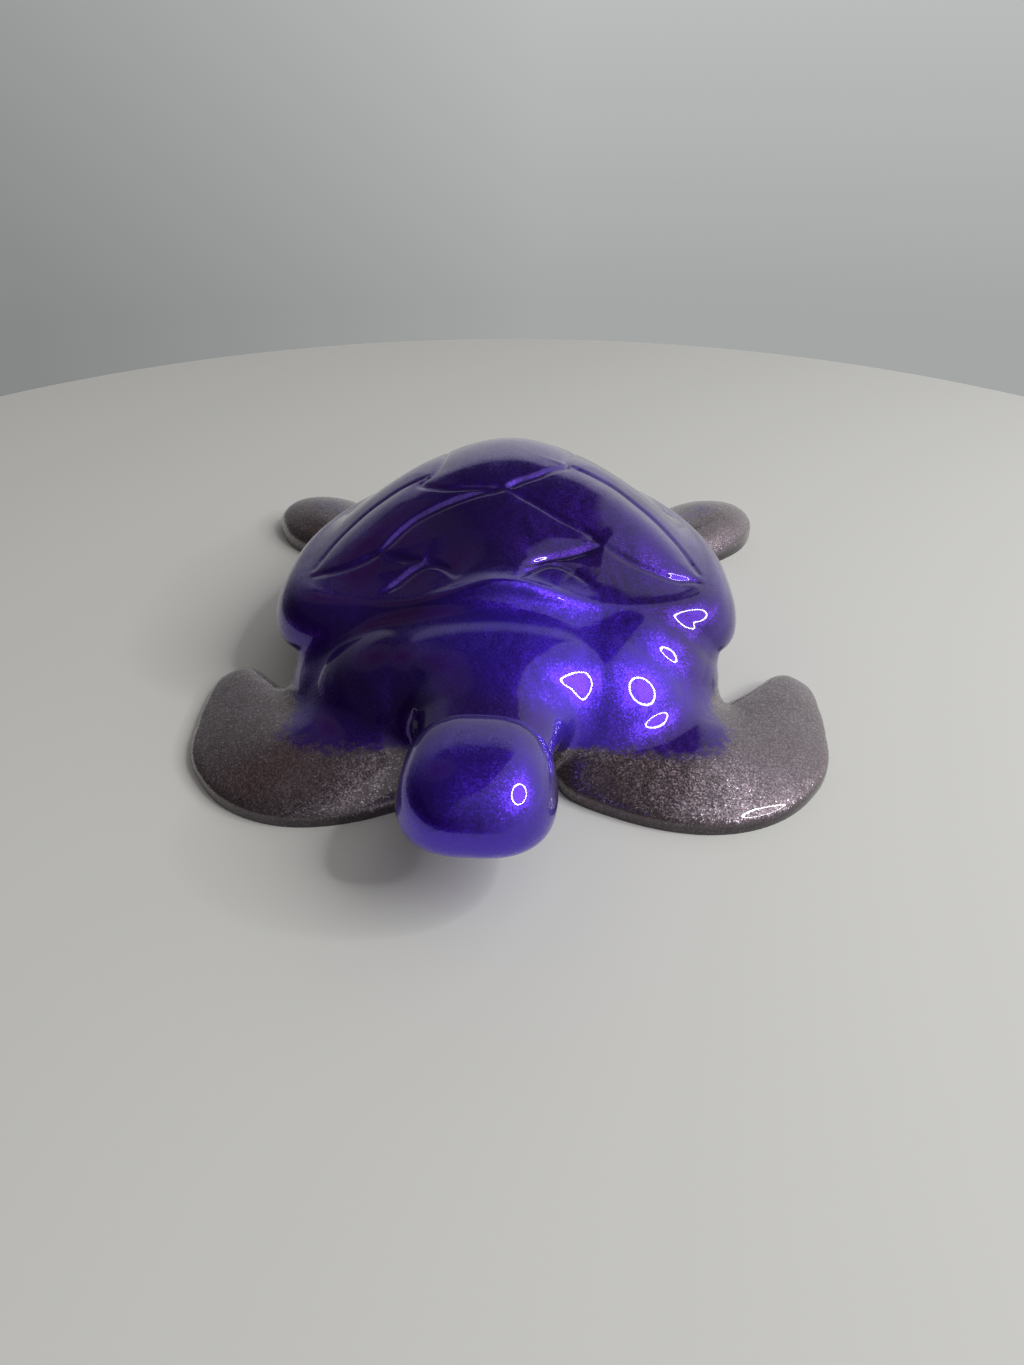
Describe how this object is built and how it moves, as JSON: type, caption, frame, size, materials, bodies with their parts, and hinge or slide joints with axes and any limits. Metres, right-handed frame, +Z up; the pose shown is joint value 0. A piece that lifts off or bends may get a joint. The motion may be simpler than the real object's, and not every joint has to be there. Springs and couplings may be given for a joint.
{
  "type": "sea turtle figurine",
  "caption": "Glossy sea turtle figurine with a domed scute-grooved shell, raised head and spread flippers, resting on its flat underside.",
  "frame": {"origin": "on the surface that the turtle rests on, under the middle of its bounding box", "axes": "+Z up, +Y from the head towards the tail, +X towards the turtle's left side, which is the picture's right"},
  "size_m": [0.0992, 0.121, 0.0306],
  "materials": {
    "violet_resin": "clear-coated resin with violet-blue mica pearl",
    "mauve_resin": "clear-coated resin with mauve-grey pearl and fine silver-lilac glitter"
  },
  "bodies": {
    "root": {"carapace": "violet_resin", "body": "violet_resin", "neck": "violet_resin", "head": "violet_resin", "belly": "mauve_resin", "front_left_flipper": "mauve_resin", "front_right_flipper": "mauve_resin", "rear_left_flipper": "mauve_resin", "rear_right_flipper": "mauve_resin", "tail": "mauve_resin"}
  },
  "joints": []
}
